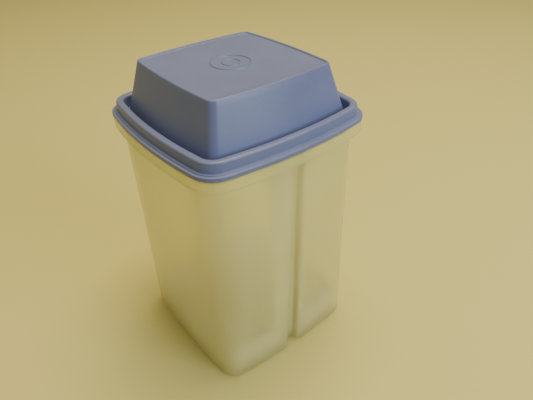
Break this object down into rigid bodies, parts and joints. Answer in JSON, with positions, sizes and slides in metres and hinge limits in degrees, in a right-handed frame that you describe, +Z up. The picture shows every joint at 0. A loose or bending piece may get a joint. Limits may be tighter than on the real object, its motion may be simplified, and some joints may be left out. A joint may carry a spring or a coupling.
{
  "type": "pickle keeper",
  "caption": "Tall frosted food keeper with a domed press-on lid and a lift-out strainer tray whose arms end in finger loops.",
  "frame": {"origin": "centre of the base, on the surface it stands on", "axes": "+Z up; the two grooved faces look along +X and -X"},
  "size_m": [0.133, 0.133, 0.212],
  "materials": {
    "frosted_plastic": "frosted translucent polyethylene",
    "blue_plastic": "soft satin polyethylene",
    "sheer_plastic": "natural satin polypropylene"
  },
  "bodies": {
    "container": {"container": "frosted_plastic"},
    "lifter": {"lifter_tray": "sheer_plastic", "lifter_arm_right": "sheer_plastic", "lifter_arm_left": "sheer_plastic"},
    "lid": {"lid": "blue_plastic"}
  },
  "joints": [
    {"name": "lifter_lift", "type": "slide", "parent": "container", "child": "lifter", "axis": [0, 0, 1], "range_m": [0, 0.19]},
    {"name": "lid_lift", "type": "slide", "parent": "lifter", "child": "lid", "axis": [0, 0, 1], "range_m": [0, 0.06]}
  ]
}
